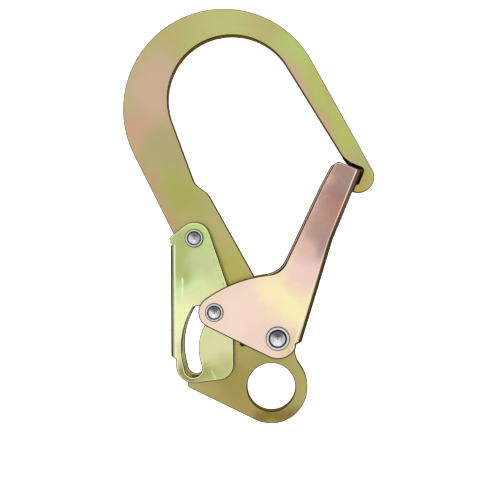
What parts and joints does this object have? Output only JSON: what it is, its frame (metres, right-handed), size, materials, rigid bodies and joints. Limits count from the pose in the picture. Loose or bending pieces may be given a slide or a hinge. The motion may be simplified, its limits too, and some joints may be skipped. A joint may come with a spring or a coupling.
{
  "type": "scaffold snap hook",
  "caption": "Large flat safety hook with a rounded crown, a swinging pressed gate, a squeeze-to-release lock lever and a round attachment eye.",
  "frame": {"origin": "centre of the attachment eye's bore, half way through the hook plate", "axes": "+Z from the eye towards the crown, +X towards the side the gate is on, Y through the thickness with the front at -Y"},
  "size_m": [0.1258, 0.0266, 0.2076],
  "materials": {
    "plate": "yellow-zinc plated steel, satin",
    "gate_sheet": "iridescent yellow-zinc plated sheet steel, satin",
    "lever_sheet": "iridescent yellow-zinc plated sheet steel, satin",
    "rivet": "bright turned steel",
    "bush": "turned steel",
    "spring": "drawn spring wire"
  },
  "bodies": {
    "hook": {"hook_body": "plate", "gate_spacer_ring": "bush", "gate_spring": "spring", "lock_spacer_ring": "bush", "lock_spring": "spring"},
    "gate": {"gate": "gate_sheet", "gate_pivot_rivet": "rivet", "gate_pivot_bush": "bush", "lock_pin": "rivet", "lock_pin_sleeve": "bush"},
    "lock": {"lock_lever": "lever_sheet", "lock_pivot_rivet": "rivet", "lock_pivot_bush": "bush"}
  },
  "joints": [
    {"name": "gate_swing", "type": "hinge", "parent": "hook", "child": "gate", "pos_m": [0.0034, 0, 0.025], "axis": [0, -1, 0], "range_deg": [0, 47], "stiffness_Nm_per_rad": 0.444, "springref_deg": -60.16, "deforming": ["gate_spring"]},
    {"name": "lock_press", "type": "hinge", "parent": "hook", "child": "lock", "pos_m": [-0.038, 0, 0.0745], "axis": [0, -1, 0], "range_deg": [0, 10], "stiffness_Nm_per_rad": 0.253, "springref_deg": -45.84, "deforming": ["lock_spring"]}
  ]
}
